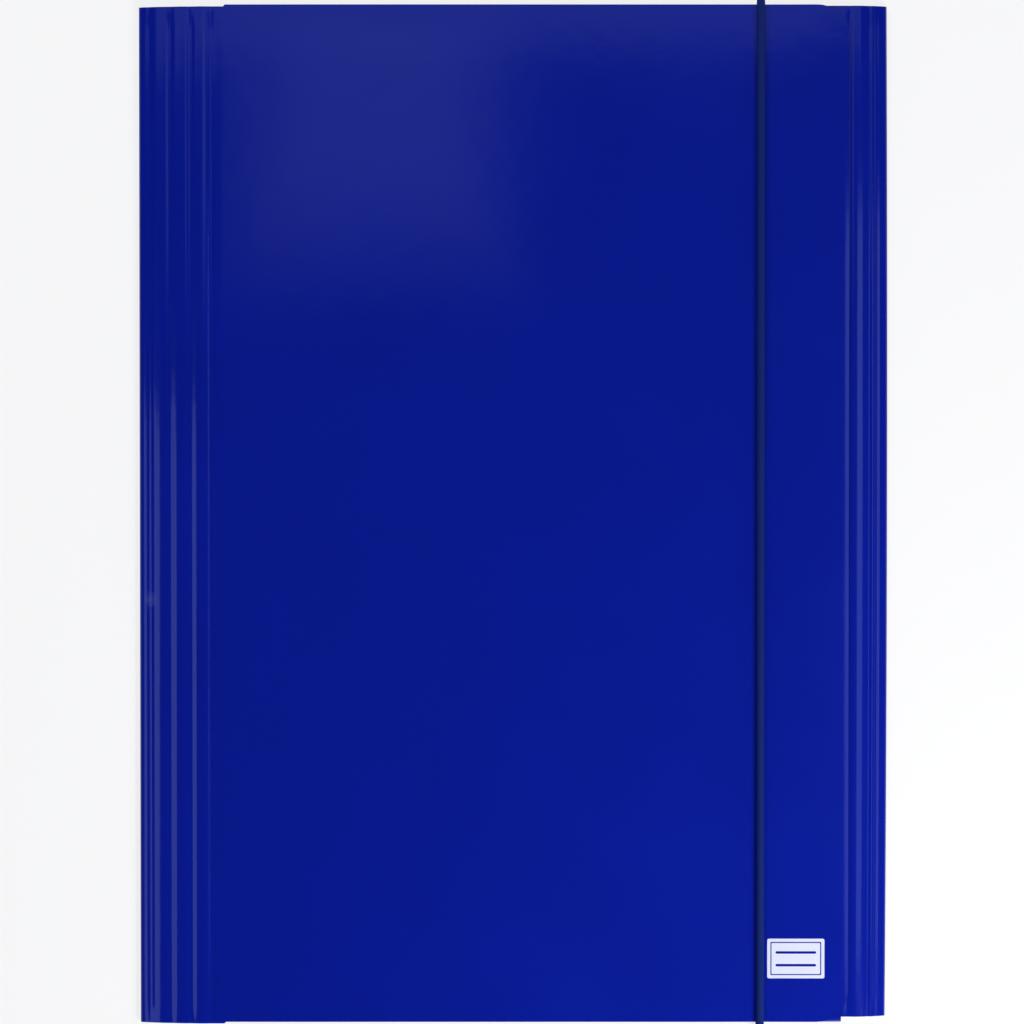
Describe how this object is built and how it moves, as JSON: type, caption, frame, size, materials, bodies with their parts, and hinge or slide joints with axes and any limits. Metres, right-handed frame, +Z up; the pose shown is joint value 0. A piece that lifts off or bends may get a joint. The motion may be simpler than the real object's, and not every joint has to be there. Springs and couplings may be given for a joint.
{
  "type": "elastic folder",
  "caption": "Flat creased card folder for loose papers, held shut by a round elastic cord that runs down the front near the fore edge",
  "frame": {"origin": "middle of the bottom of the bounding box, on the surface that the back panel lies on", "axes": "+X from the spine to the fore edge, +Y from the tail to the head, +Z up out of the front cover"},
  "size_m": [0.235, 0.327, 0.0075],
  "materials": {
    "laminated_card": "glossy film laminate over printed blue card",
    "elastic": "matt braided cover over rubber threads",
    "steel": "rolled strip, satin"
  },
  "bodies": {
    "root": {"folder_card": "laminated_card", "elastic_cord": "elastic", "head_crossbar": "steel", "tail_crossbar": "steel"}
  },
  "joints": []
}
